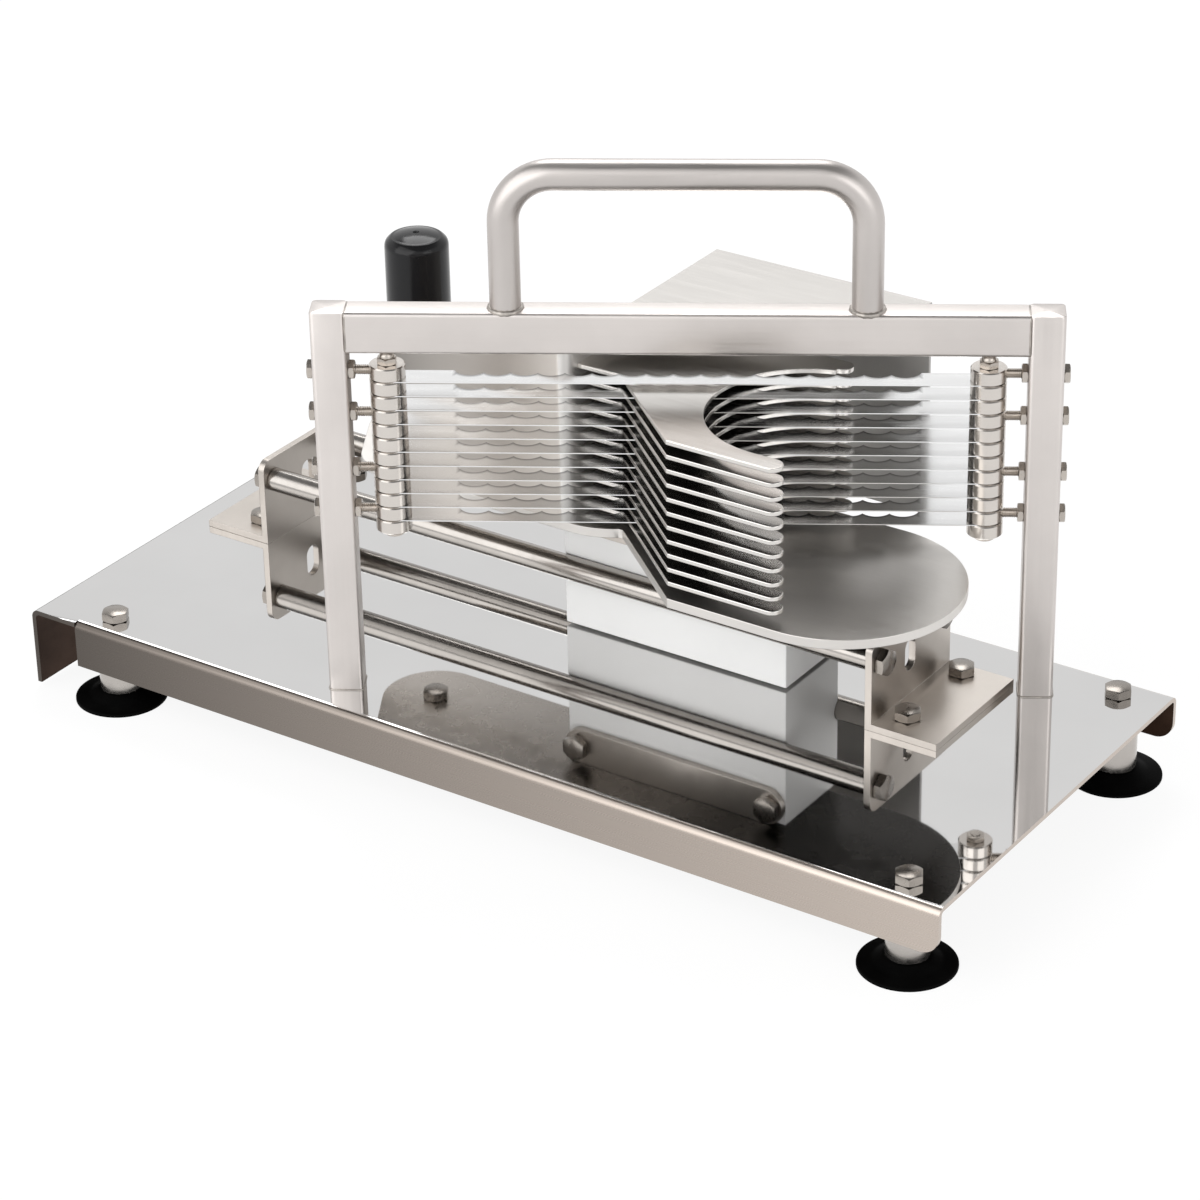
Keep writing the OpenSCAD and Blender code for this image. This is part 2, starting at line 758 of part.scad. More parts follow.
module grip_bolt() {
    color(steel) on_carriage(block_top) translate([-tray_tail_x, tail_y, 0]) mirror([0, 0, 1])
        hex_bolt(tray_t + thread_in - 1);
}

base_plate();
foot_cups();
foot_spacers();
foot_bolts();
bracket_left();
bracket_right();
bracket_bolts();
bracket_nuts();
rod_front();
rod_rear();
rod_screws();
frame_post_left();
frame_post_right();
frame_rail();
carry_handle();
blade_spacers_left();
blade_spacers_right();
stack_pins();
stack_cap_nuts();
stack_nuts();
tension_screws();
tension_nuts();
slider_block();
tray_strap();
strap_bolts();
tray();
hand_guard();
grip();
grip_bolt();
for (i = [1 : blade_n]) {
    blade(i);
    fin(i);
}
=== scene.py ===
"""Looks of a hand-pushed tomato slicer: polished base, welded blade frame, finned pusher and grip."""

import math

import bmesh
import bpy
import numpy as np
from bpy.props import FloatProperty, FloatVectorProperty, IntProperty, PointerProperty
from mathutils import Matrix, Vector


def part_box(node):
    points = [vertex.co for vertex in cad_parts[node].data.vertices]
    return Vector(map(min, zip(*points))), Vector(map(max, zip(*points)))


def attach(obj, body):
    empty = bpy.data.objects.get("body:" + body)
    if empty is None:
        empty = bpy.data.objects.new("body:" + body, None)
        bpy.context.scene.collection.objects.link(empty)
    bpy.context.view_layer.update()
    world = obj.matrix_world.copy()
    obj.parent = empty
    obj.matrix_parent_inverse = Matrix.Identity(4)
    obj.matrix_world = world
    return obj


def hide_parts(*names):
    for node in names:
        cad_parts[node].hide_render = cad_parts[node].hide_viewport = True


bl_info = {
    "name": "Tomato Slicer Looks",
    "version": (1, 0, 0),
    "blender": (4, 5, 0),
    "location": "View3D > Sidebar > Slicer",
    "description": "Builds the finished surfaces, finishes and studio of a tomato slicer",
    "category": "Object",
}

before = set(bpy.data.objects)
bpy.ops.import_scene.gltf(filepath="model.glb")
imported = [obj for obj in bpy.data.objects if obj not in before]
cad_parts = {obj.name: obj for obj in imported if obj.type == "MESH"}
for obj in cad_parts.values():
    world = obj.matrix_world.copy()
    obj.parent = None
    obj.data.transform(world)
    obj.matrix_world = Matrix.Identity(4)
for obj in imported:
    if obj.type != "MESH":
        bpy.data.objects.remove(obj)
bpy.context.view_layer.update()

# The two bodies of the frame, and the number of blades, which is also the number of fins
BASE = "base"
CARRIAGE = "carriage"
BLADES = sum(name.startswith("blade_") and name[6:].isdigit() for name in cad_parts)

MM = 0.001
TAU = 2 * math.pi
UP = Vector((0, 0, 1))

# Points closer than this are one, and edges over this many degrees stay sharp
MERGE = 1e-6
SHARP = 32

# Thread pitches of the large bolts, and of the tension screws and stack pins
COARSE = 1.0 * MM
FINE = 0.7 * MM


# Sizes and colours a user would change


def length(label, words, millimetres):
    """A length property given in millimetres."""
    return FloatProperty(name=label, description=words, default=millimetres * MM, min=0, unit="LENGTH")


def colour(label, words, red, green, blue):
    """A colour property of three linear values."""
    return FloatVectorProperty(
        name=label, description=words, default=(red, green, blue), size=3, min=0, max=1, subtype="COLOR"
    )


class SlicerSizes(bpy.types.PropertyGroup):
    """Small sizes that the finished surfaces add to the solids or share with them"""

    frame_turn: FloatProperty(
        name="Frame turn",
        description="Angle of the blade frame to the pushing direction",
        default=math.radians(31),
        subtype="ANGLE",
    )
    post_width: length("Post width", "Width of a post along the frame", 13.5)
    tube_depth: length("Tube depth", "Depth of the frame's tubes", 13)
    tube_corner: length("Tube corner", "Radius of the tubes' long edges", 1.8)
    bar: length("Handle bar", "Diameter of the carrying handle's bar", 12)
    bend: length("Handle bend", "Bend radius of the bar's axis", 19)
    bolt_flats: length("Bolt flats", "Width across flats of the large hex heads", 10)
    bolt_head: length("Bolt head", "Height of the large hex heads", 4)
    bolt_shank: length("Bolt shank", "Diameter of the large bolts", 6)
    screw_flats: length("Screw flats", "Width across flats of the tension screws", 7)
    screw_head: length("Screw head", "Height of the tension screws' heads and the small nuts", 2.4)
    screw_shank: length("Screw shank", "Diameter of the tension screws and the stack pins", 4)
    cut_edge: length("Cut edge", "Rounding of sawn and sheared edges", 0.3)
    fin_edge: length("Fin edge", "Rounding of the fins' tumbled edges", 0.45)
    block_edge: length("Block edge", "Rounding of the plastic block's edges", 0.8)
    ring_edge: length("Ring edge", "Chamfer of the spacer rings", 0.45)
    scallop_pitch: length("Scallop pitch", "Distance between the arcs of a blade's wavy edge", 10.35)
    scallop_radius: length("Scallop radius", "Radius of the arcs of a blade's wavy edge", 6.5)
    scallop_offset: length("Scallop offset", "From a blade's middle line to the arcs' middles", 7.433)
    scallop_run: length("Scallop run", "Length of a blade's wavy part", 175.95)
    # The bevel along the wavy edge is only painted, as a band of shade.
    bevel_shade_width: length("Blade bevel", "Width of the bevel ground along the wavy edge", 1.8)
    weld: length("Weld", "Radius of the weld beads", 1.1)
    seam: length("Seam", "Radius of the ground-down weld seams", 0.45)
    seam_proud: length("Seam height", "How far a ground-down seam stands out", 0.12)
    round_steps: IntProperty(
        name="Round steps", description="Faces round a turned piece", default=64, min=12
    )


class SlicerFinishes(bpy.types.PropertyGroup):
    """Colours of the finishes"""

    polished: colour("Polished steel", "Mirror-polished top of the base", 0.67, 0.665, 0.66)
    # The folded edge's brown colour is a painted reflection of a dim table.
    folded: colour("Folded edge", "Base sheet at its folds, less polished", 0.52, 0.455, 0.405)
    # The base's inside colour, near black, is painted shade under the base.
    scale: colour("Inside painted shade", "Inside of the base sheet", 0.040, 0.023, 0.016)
    # The tray underside's darker colour is painted shade.
    raw: colour("Underside steel in painted shade", "Underside of the tray", 0.62, 0.575, 0.53)
    satin: colour("Satin steel", "Frame tubes and handle", 0.66, 0.62, 0.595)
    sheet: colour("Brushed sheet", "Fins, tray top and the guard's top plate", 0.72, 0.695, 0.665)
    # The guard's inside colour, near white, is a painted highlight of a softbox on its bend.
    inside: colour("Sanded, painted highlight", "Inside of the hand guard and its bend", 0.86, 0.84, 0.815)
    # The panels' darker colour is a painted dim reflection.
    wall: colour("Rolled, painted reflection", "Upright panels of the hand guard", 0.54, 0.505, 0.47)
    angle: colour("Angle steel", "Brackets and strap", 0.53, 0.49, 0.45)
    blade: colour("Blade steel", "Ground blade strip", 0.80, 0.80, 0.80)
    turned: colour("Turned steel", "Rods, rings and foot spacers", 0.58, 0.545, 0.51)
    bright: colour("Bright steel", "Bolts, screws and nuts", 0.30, 0.275, 0.25)
    weld: colour("Weld", "Heat-tinted weld metal", 0.42, 0.39, 0.36)
    plastic: colour("White plastic", "Slider block", 0.93, 0.93, 0.92)
    grip: colour("Black plastic", "Grip", 0.008, 0.008, 0.009)
    rubber: colour("Black rubber", "Suction cups", 0.002, 0.002, 0.002)
    floor: colour("Floor", "Studio floor", 0.93, 0.93, 0.93)


def sizes():
    """The sizes as the panel shows them."""
    return bpy.context.scene.slicer_sizes


def finishes():
    """The colours as the panel shows them."""
    return bpy.context.scene.slicer_finishes


# Shapes worked out as arrays: a shell is its points and the corners of its four-sided faces


def grid_faces(rows, columns, close_rows=False):
    """Corners of the faces between neighbouring points of a grid; the last column meets the first."""
    row, column = np.meshgrid(np.arange(rows - (not close_rows)), np.arange(columns), indexing="ij")
    next_row, next_column = (row + 1) % rows, (column + 1) % columns
    corners = ((row, column), (row, next_column), (next_row, next_column), (next_row, column))
    return np.stack([r * columns + c for r, c in corners], -1).reshape(-1, 4)


def join(shells):
    """Several shells as one: points stacked, corner numbers counted on."""
    starts = np.cumsum([0] + [len(points) for points, _ in shells[:-1]])
    points = np.concatenate([points for points, _ in shells])
    return points, np.concatenate([faces + start for (_, faces), start in zip(shells, starts)])


def round_about(steps):
    """Equal steps of angle once round."""
    return np.linspace(0, TAU, steps, endpoint=False)


def wound(radius, angle, height, closed=False):
    """Rows round Z: radius times the cosine and sine of the angle, at a height."""
    points = np.broadcast_arrays(radius * np.cos(angle), radius * np.sin(angle), height)
    return np.stack(points, -1).reshape(-1, 3), grid_faces(*points[0].shape, closed)


def turned(profile, closed=False):
    """Surface of revolution: (radius, height) along the profile, turned about Z."""
    radius, height = np.asarray(profile, float).T[:, :, None]
    return wound(radius, round_about(sizes().round_steps), height, closed)


def chamfered(radius, height, edge, bore=0.0):
    """Profile of a cylinder or ring on Z = 0 whose outer edges are cut at 45 degrees."""
    half = [(bore, 0), (radius - edge, 0), (radius, edge)]
    return half + [(r, height - z) for r, z in reversed(half)]


def soften(corners, radius, steps=6):
    """Open polyline whose inner corners become parabolas.

    A parabola starts and ends a radius from its corner, but no further than 0.45 of the side there.
    """
    most = 0.45
    corners = np.asarray(corners, float)
    before, corner, after = corners[:-2], corners[1:-1], corners[2:]

    def step_towards(end):
        way = end - corner
        reach = np.linalg.norm(way, axis=1, keepdims=True)
        return corner + way / reach * np.minimum(radius, most * reach)

    t = np.linspace(0, 1, steps)[None, :, None]
    start, end = step_towards(before)[:, None], step_towards(after)[:, None]
    arcs = (1 - t) ** 2 * start + 2 * t * (1 - t) * corner[:, None] + t**2 * end
    return np.concatenate([corners[:1], arcs.reshape(-1, corners.shape[1]), corners[-1:]])


def hex_block(flats, height, bore=0.0, dome=0.0):
    """Hexagonal head or nut on Z = 0, both ends cut back by a cone; a half ball may stand on it.

    Its radius is half the width across flats over the cosine of the angle from a side's middle.
    """
    end_share, cone_slope = 0.47, math.tan(math.radians(30))
    angle = round_about(72)
    level = np.ones_like(angle)
    side = flats / 2 / np.cos(angle % (TAU / 6) - TAU / 12)
    flat = end_share * flats * level
    cone = (side - flat) * cone_slope
    radius = [bore * level, flat, side, side, flat]
    z = [0 * level, 0 * level, cone, height - cone, height * level]
    if dome:
        lift = np.linspace(0, TAU / 4, 9)[:, None]
        radius.extend(dome * np.cos(lift) * level)
        z.extend((height + dome * np.sin(lift)) * level)
    else:
        radius.append(bore * level)
        z.append(height * level)
    return wound(np.array(radius), angle, np.array(z), closed=bore > 0)


def threaded(radius, low, high, pitch):
    """Screw thread about Z, closed at its ends.

    The radius falls and rises with height less turn, once a pitch.
    """
    rows_a_pitch, depth = 6, 0.45 * pitch
    angle = round_about(24)
    z = np.linspace(low, high, int((high - low) / pitch * rows_a_pitch) + 2)[:, None]
    ridge = np.abs((z / pitch - angle / TAU) % 1 * 2 - 1)
    rows = radius - depth * ridge
    rows = np.concatenate([0 * rows[:1], rows, 0 * rows[:1]])
    return wound(rows, angle, np.concatenate([z[:1], z, z[-1:]]))


def hex_bolt(flats, head, shank, reach, pitch):
    """Hex bolt along Z: head above Z = 0 and threaded shank below, let a little into the head."""
    let_in = 0.1 * MM
    return join([hex_block(flats, head), threaded(shank / 2, -reach, let_in, pitch)])


def large_bolt(reach):
    """Hex bolt of the large size whose shank has the given length."""
    size = sizes()
    return hex_bolt(size.bolt_flats, size.bolt_head, size.bolt_shank, reach, COARSE)


def carried(outline, rows):
    """Closed outline carried along Z, with closed ends.

    Each (inset, height) row draws the outline in by its inset, square to the outline.
    """
    outline = np.asarray(outline, float)
    along = np.roll(outline, -1, 0) - np.roll(outline, 1, 0)
    outward = np.stack([along[:, 1], -along[:, 0]], 1) / np.linalg.norm(along, axis=1, keepdims=True)
    inset, height = np.array(rows, float).T
    flat = outline[None] - inset[:, None, None] * outward[None]
    middle = np.broadcast_to(outline.mean(0), (1,) + outline.shape)
    flat = np.concatenate([middle, flat, middle])
    height = np.concatenate([height[:1], height, height[-1:]])
    z = np.broadcast_to(height[:, None, None], flat.shape[:2] + (1,))
    return np.concatenate([flat, z], -1).reshape(-1, 3), grid_faces(len(height), len(outline))


def rounded_box(width, depth, corner):
    """Outline of a rectangle round the middle with quarter-circle corners, anticlockwise."""
    quarter = np.linspace(0, TAU / 4, 7)
    turn = (np.arange(4)[:, None] * TAU / 4 + quarter).reshape(-1)
    middle = np.array([[1, 1], [-1, 1], [-1, -1], [1, -1]]) * (width / 2 - corner, depth / 2 - corner)
    return np.repeat(middle, len(quarter), 0) + corner * np.stack([np.cos(turn), np.sin(turn)], 1)


def pipe(path, radius, side, steps, closed=False):
    """Round bar along a path in a plane: circles square to the path, spanned by the plane's side."""
    path = np.asarray(path, float)
    if closed:
        along = np.roll(path, -1, 0) - np.roll(path, 1, 0)
    else:
        along = np.gradient(path, axis=0)
    along /= np.linalg.norm(along, axis=1, keepdims=True)
    side = np.broadcast_to(np.asarray(side, float), path.shape)
    across = np.cross(along, side)
    angle = round_about(steps)[None, :, None]
    radius = np.broadcast_to(np.asarray(radius, float), len(path))[:, None, None]
    rings = path[:, None] + radius * (np.cos(angle) * side[:, None] + np.sin(angle) * across[:, None])
    if not closed:
        ends = np.broadcast_to(path[[0, -1]][:, None], (2,) + rings.shape[1:])
        rings = np.concatenate([ends[:1], rings, ends[1:]])
    return rings.reshape(-1, 3), grid_faces(len(rings), steps, closed)


def bead(ring, radius, drops, side):
    """Weld bead round a closed ring: its radius swells and shrinks once for each drop of metal."""
    swell = 0.10
    ripple = 1 + swell * np.sin(np.linspace(0, TAU * drops, len(ring)))
    return pipe(ring, radius * ripple, side, steps=12, closed=True)


def place(shell, origin, axis=UP):
    """Carries a shell made about Z to a point, with its Z along the axis; X goes up on a level axis."""
    points, faces = shell
    z = Vector(axis).normalized()
    x = UP if abs(z.z) < 0.5 else Vector((1, 0, 0))
    basis = np.array([x, z.cross(x), z])
    return points @ basis + np.array(origin), faces


def repeat(shell, spots, height, axis=UP):
    """A shell at several level places, all at one height."""
    return join([place(shell, (x, y, height), axis) for x, y in spots])


def along_frame():
    """Level direction along the blade frame, from its front left to its back right end."""
    turn = sizes().frame_turn
    return Vector((math.cos(turn), math.sin(turn), 0))


def middle_of(node):
    """Middle of a node's box."""
    low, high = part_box(node)
    return (low + high) / 2


def corner_places(node, half_x, half_y):
    """The four level places of equal pieces at the corners of a node's box, given their half sizes."""
    low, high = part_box(node)
    left, right = low.x + half_x, high.x - half_x
    front, back = low.y + half_y, high.y - half_y
    return [(left, front), (left, back), (right, front), (right, back)]


def blade_rows():
    """Height of the lowest blade, and the pitch of the blades above it."""
    low, high = middle_of("blade_1").z, middle_of(f"blade_{BLADES}").z
    return low, (high - low) / (BLADES - 1)


# Pieces from shells, and copies of solids with their edges rounded


def finish_piece(name, mesh, finish, body, nodes):
    """Object for a mesh, riding on a body and standing for nodes."""
    mesh.materials.clear()
    mesh.materials.append(finish)
    mesh.polygons.foreach_set("material_index", np.zeros(len(mesh.polygons), np.int32))
    piece = bpy.data.objects.new(name, mesh)
    bpy.context.scene.collection.objects.link(piece)
    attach(piece, body)
    if nodes:
        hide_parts(*nodes)
    return piece


def add_piece(name, shell, finish, body, slot, *nodes, sharp=SHARP):
    """Piece from a shell: doubled points merged, faces outward, edges over an angle kept sharp."""
    points, faces = shell
    mesh = bpy.data.meshes.new(name)
    mesh.from_pydata(points.tolist(), [], faces.tolist())
    shape = bmesh.new()
    shape.from_mesh(mesh)
    bmesh.ops.remove_doubles(shape, verts=shape.verts, dist=MERGE)
    bmesh.ops.dissolve_degenerate(shape, edges=shape.edges, dist=MERGE / 10)
    bmesh.ops.recalc_face_normals(shape, faces=shape.faces)
    shape.to_mesh(mesh)
    shape.free()
    mesh.shade_smooth()
    mesh.set_sharp_from_angle(angle=math.radians(sharp))
    return finish_piece(name, mesh, finish, body, nodes)


def dress(node, shell, finish, body, slot, sharp=SHARP):
    """Piece from a shell that stands for one node and is named after it."""
    return add_piece(f"{node}_dressed", shell, finish, body, slot, node, sharp=sharp)


def rounded_copy(node, finish, width, body):
    """Copy of a node's solid with its sharp edges rounded over by a width."""
    flat_angle = math.radians(0.5)
    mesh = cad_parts[node].data.copy()
    mesh.name = f"{node}_dressed"
    shape = bmesh.new()
    shape.from_mesh(mesh)
    bmesh.ops.remove_doubles(shape, verts=shape.verts, dist=MERGE)
    bmesh.ops.dissolve_limit(shape, angle_limit=flat_angle, verts=shape.verts, edges=shape.edges)
    shape.to_mesh(mesh)
    shape.free()
    mesh.shade_smooth()
    mesh.set_sharp_from_angle(angle=math.radians(SHARP))
    piece = finish_piece(f"{node}_dressed", mesh, finish, body, [node])
    bevel = piece.modifiers.new("Rounded edges", "BEVEL")
    bevel.width = width
    bevel.segments = 2
    bevel.limit_method = "ANGLE"
    bevel.angle_limit = math.radians(SHARP)
    bevel.harden_normals = True
    return piece


def each_face(piece, name):
    """The normal or the centre of every face of a piece, as rows."""
    rows = np.empty(len(piece.data.polygons) * 3)
    piece.data.polygons.foreach_get(name, rows)
    return rows.reshape(-1, 3)


def paint(piece, finish, chosen):
    """Gives the chosen faces of a piece another finish."""
    mesh = piece.data
    index = np.empty(len(mesh.polygons), np.int32)
    mesh.polygons.foreach_get("material_index", index)
    index[chosen] = len(mesh.materials)
    mesh.materials.append(finish)
    mesh.polygons.foreach_set("material_index", index)


# Finishes


class Finish:
    """Material under construction, of metal unless told otherwise, with ways to vary it."""

    def __init__(self, name, base, metallic=1.0, roughness=0.5):
        self.material = bpy.data.materials.new(name)
        self.material.use_nodes = True
        self.nodes = self.material.node_tree.nodes
        self.links = self.material.node_tree.links
        self.shader = self.nodes["Principled BSDF"]
        self.base = base
        self.set("Base Color", (*base, 1))
        self.set("Metallic", metallic)
        self.set("Roughness", roughness)
        self.coordinates = self.nodes.new("ShaderNodeTexCoord").outputs["Object"]

    def set(self, name, value):
        """Sets a value that is the same all over the surface."""
        self.shader.inputs[name].default_value = value

    def mapped(self, start=(0, 0, 0), turn=0.0, stretch=(1, 1, 1)):
        """The object's coordinates counted from a start, along axes turned about Z and stretched."""
        node = self.nodes.new("ShaderNodeMapping")
        node.vector_type = "TEXTURE"
        node.inputs["Location"].default_value = start
        node.inputs["Rotation"].default_value = (0, 0, turn)
        node.inputs["Scale"].default_value = stretch
        self.links.new(self.coordinates, node.inputs["Vector"])
        return node.outputs["Vector"]

    def split(self, vector):
        """The X, Y and Z parts of a vector."""
        node = self.nodes.new("ShaderNodeSeparateXYZ")
        self.links.new(vector, node.inputs["Vector"])
        return node.outputs

    def noise(self, scale, stretch=(1, 1, 1), turn=0.0, detail=4.0):
        """Noise over the object's coordinates, stretched along axes that may be turned about Z."""
        node = self.nodes.new("ShaderNodeTexNoise")
        node.inputs["Scale"].default_value = scale
        node.inputs["Detail"].default_value = detail
        self.links.new(self.mapped(turn=turn, stretch=stretch), node.inputs["Vector"])
        return node.outputs["Fac"]

    def along(self, axis, start, end):
        """0 to 1 from one place to another along an axis of the object."""
        return self.spread(self.split(self.coordinates)[axis], 0, 1, start, end)

    def reckon(self, operation, *values):
        """Result of a sum with numbers or other nodes' results."""
        node = self.nodes.new("ShaderNodeMath")
        node.operation = operation
        for socket, value in zip(node.inputs, values):
            if isinstance(value, float):
                socket.default_value = value
            else:
                self.links.new(value, socket)
        return node.outputs[0]

    def spread(self, value, low, high, start=0.3, end=0.7):
        """A number between two ends as the value goes from start to end."""
        node = self.nodes.new("ShaderNodeMapRange")
        for name, number in zip(("From Min", "From Max", "To Min", "To Max"), (start, end, low, high)):
            node.inputs[name].default_value = number
        self.links.new(value, node.inputs["Value"])
        return node.outputs["Result"]

    def vary_colour(self, value, first, last, places=(0.32, 0.68)):
        """Base colour from a first to a last share of itself as the value goes between two places."""
        ramp = self.nodes.new("ShaderNodeValToRGB")
        for element, spot, share in zip(ramp.color_ramp.elements, places, (first, last)):
            element.position = spot
            element.color = (*(min(1, share * c) for c in self.base), 1)
        self.links.new(value, ramp.inputs["Fac"])
        self.links.new(ramp.outputs["Color"], self.shader.inputs["Base Color"])

    def vary_roughness(self, value, low, high):
        """Roughness between two ends, by a noise."""
        self.links.new(self.spread(value, low, high), self.shader.inputs["Roughness"])

    def bump(self, value, height):
        """Surface relief of the given height, by a noise."""
        node = self.nodes.new("ShaderNodeBump")
        node.inputs["Distance"].default_value = height
        self.links.new(value, node.inputs["Height"])
        self.links.new(node.outputs["Normal"], self.shader.inputs["Normal"])


def polished_sheet():
    """Mirror-polished steel sheet with faint smears and waves."""
    finish = Finish("polished steel", finishes().polished)
    finish.vary_roughness(finish.noise(9), 0.012, 0.035)
    finish.vary_colour(finish.noise(14), 0.97, 1.02)
    finish.bump(finish.noise(6, detail=1), 0.03 * MM)
    return finish.material


def fold_painted_reflection():
    """Base sheet on its folds: brushed along its length, its brown colour a painted reflection of a dim
    table, darker towards the left end.
    """
    finish = Finish("fold with painted reflection", finishes().folded)
    finish.vary_roughness(finish.noise(900, stretch=(60, 1, 1)), 0.22, 0.34)
    # Painted reflection: 0.17 of the colour at the left end, full at the right.
    finish.vary_colour(finish.along("X", -0.21, 0.21), 0.17, 1.05, places=(0, 1))
    return finish.material


def inside_painted_shade():
    """Unpolished inside of the base sheet, painted near black in clouds as the shade under the base."""
    finish = Finish("inside painted shade", finishes().scale)
    finish.vary_roughness(finish.noise(200), 0.35, 0.5)
    finish.vary_colour(finish.noise(30), 0.75, 1.3)
    return finish.material


def tray_underside_painted_shade():
    """Satin underside of the tray, painted darker as shade, falling to near black towards its round
    end.
    """
    finish = Finish("tray underside painted shade", finishes().raw)
    finish.vary_roughness(finish.noise(120), 0.20, 0.32)
    # Painted shade: full colour at one end, 0.06 of it at the round end.
    finish.vary_colour(finish.along("X", -0.12, 0.06), 1.0, 0.06, places=(0, 1))
    return finish.material


def satin_plate():
    """Fine satin top of the tray, ground along the rods."""
    finish = Finish("satin plate", finishes().sheet)
    finish.vary_roughness(finish.noise(900, stretch=(40, 1, 1)), 0.30, 0.42)
    finish.vary_colour(finish.noise(20), 0.95, 1.03)
    return finish.material


def satin_tube(name, stretch, share=1.0):
    """Satin steel, brushed along a tube of the frame, with cloudy patches from grinding."""
    finish = Finish(name, [share * c for c in finishes().satin])
    grain = finish.noise(1100, stretch=stretch, turn=sizes().frame_turn)
    finish.vary_roughness(grain, 0.30, 0.44)
    finish.vary_colour(finish.noise(28), 0.95, 1.04)
    finish.bump(grain, 0.008 * MM)
    return finish.material


def brushed_sheet():
    """Fine sheet of the fins and the guard's top plate, brushed along the rods."""
    finish = Finish("brushed sheet", finishes().sheet)
    finish.vary_roughness(finish.noise(1000, stretch=(40, 1, 1)), 0.16, 0.26)
    finish.vary_colour(finish.noise(18), 0.96, 1.03)
    return finish.material


def fin_underside_painted_shade():
    """Underside of the fins, painted darker away from the guard as the shade between the fins."""
    finish = Finish("fin underside painted shade", finishes().sheet)
    finish.vary_roughness(finish.noise(60), 0.16, 0.24)
    # Painted shade: 0.9 of the colour by the guard, 0.22 towards the tips.
    finish.vary_colour(finish.along("X", 0.01, 0.07), 0.9, 0.22, places=(0, 1))
    return finish.material


def sanded_painted_highlight():
    """Inside of the guard, sanded to a soft sheen, painted near white as a softbox's highlight on the
    bend, fading to half towards its open end.
    """
    finish = Finish("sanded painted highlight", finishes().inside)
    finish.vary_roughness(finish.noise(60), 0.46, 0.56)
    finish.vary_colour(finish.along("X", 0.03, 0.10), 1.0, 0.5, places=(0, 1))
    return finish.material


def rolled_painted_reflection():
    """Rolled panels of the guard: level hairlines and clouds, painted darker as a dim reflection,
    darker still at the free end.
    """
    finish = Finish("rolled painted reflection", finishes().wall)
    finish.vary_roughness(finish.noise(900, stretch=(40, 40, 1)), 0.30, 0.40)
    cloudy = finish.reckon("MULTIPLY_ADD", finish.noise(16), 0.3, finish.along("X", -0.08, -0.01))
    finish.vary_colour(cloudy, 0.45, 1.22, places=(0.1, 1))
    return finish.material


def angle_steel():
    """Cut angle steel: coarse grain square to the rods and faint clouds."""
    finish = Finish("angle steel", finishes().angle)
    finish.vary_roughness(finish.noise(900, stretch=(1, 12, 12)), 0.28, 0.35)
    finish.vary_colour(finish.noise(45), 0.94, 1.05)
    return finish.material


def ground_blade():
    """Bright ground blade strip with lines along its length, with painted shade on the bevel of its
    wavy edge.

    The depth behind that edge is the distance from the nearest arc's middle less the arc's radius.
    """
    size = sizes()
    finish = Finish("blade steel", finishes().blade)
    grain = finish.noise(1500, stretch=(50, 1, 1), turn=size.frame_turn)
    finish.vary_roughness(grain, 0.12, 0.24)
    along, across, _ = finish.split(finish.mapped(middle_of("blade_1"), size.frame_turn))
    x = finish.reckon("WRAP", along, size.scallop_pitch / 2, -size.scallop_pitch / 2)
    y = finish.reckon("SUBTRACT", across, size.scallop_offset)
    square = finish.reckon("ADD", finish.reckon("MULTIPLY", x, x), finish.reckon("MULTIPLY", y, y))
    depth = finish.reckon("SUBTRACT", finish.reckon("SQRT", square), size.scallop_radius)
    past_arcs = finish.reckon("SUBTRACT", finish.reckon("ABSOLUTE", along), size.scallop_run / 2)
    inner = finish.spread(finish.reckon("MAXIMUM", depth, past_arcs), 0, 1, 0, size.bevel_shade_width)
    # Painted shade: 0.35 of the colour at the edge, full a bevel's width behind it.
    finish.vary_colour(inner, 0.35, 1.0, places=(0, 1))
    return finish.material


def turned_steel(name, share):
    """Turned steel of the rods, rings and foot spacers, a share as light as its colour."""
    finish = Finish(name, [share * c for c in finishes().turned])
    finish.vary_roughness(finish.noise(300), 0.14, 0.24)
    finish.vary_colour(finish.noise(60), 0.95, 1.04)
    return finish.material


def bright_fastener(name="bright steel", share=1.0):
    """Bright drawn steel of bolts, screws and nuts, a little marked by tools."""
    finish = Finish(name, [share * c for c in finishes().bright])
    marks = finish.noise(160, detail=3)
    finish.vary_roughness(marks, 0.20, 0.32)
    finish.vary_colour(finish.noise(90), 0.90, 1.08)
    finish.bump(marks, 0.02 * MM)
    return finish.material


def weld_metal():
    """Rough, heat-tinted weld metal."""
    finish = Finish("weld metal", finishes().weld)
    drops = finish.noise(500, detail=6)
    finish.vary_roughness(drops, 0.32, 0.55)
    finish.vary_colour(finish.noise(220), 0.75, 1.25)
    finish.bump(drops, 0.12 * MM)
    return finish.material


def white_plastic():
    """Machined white plastic with faint cutter lines, a little translucent."""
    finish = Finish("white plastic", finishes().plastic, metallic=0)
    lines = finish.noise(800, stretch=(30, 1, 1))
    finish.vary_roughness(lines, 0.30, 0.42)
    finish.vary_colour(finish.noise(25), 0.975, 1.01)
    finish.bump(lines, 0.02 * MM)
    finish.set("Subsurface Weight", 0.08)
    finish.set("Subsurface Radius", (4 * MM, 4 * MM, 4 * MM))
    return finish.material


def black_plastic():
    """Glossy moulded black plastic with a very fine skin."""
    finish = Finish("black plastic", finishes().grip, metallic=0)
    finish.set("Specular IOR Level", 0.3)
    finish.vary_roughness(finish.noise(40), 0.13, 0.20)
    finish.bump(finish.noise(650, detail=2), 0.02 * MM)
    return finish.material


def black_rubber():
    """Smooth black rubber, dusty in patches."""
    finish = Finish("black rubber", finishes().rubber, metallic=0)
    finish.set("Specular IOR Level", 0.02)
    finish.vary_roughness(finish.noise(55), 0.45, 0.6)
    finish.vary_colour(finish.noise(90), 0.8, 1.5)
    return finish.material


# The stage


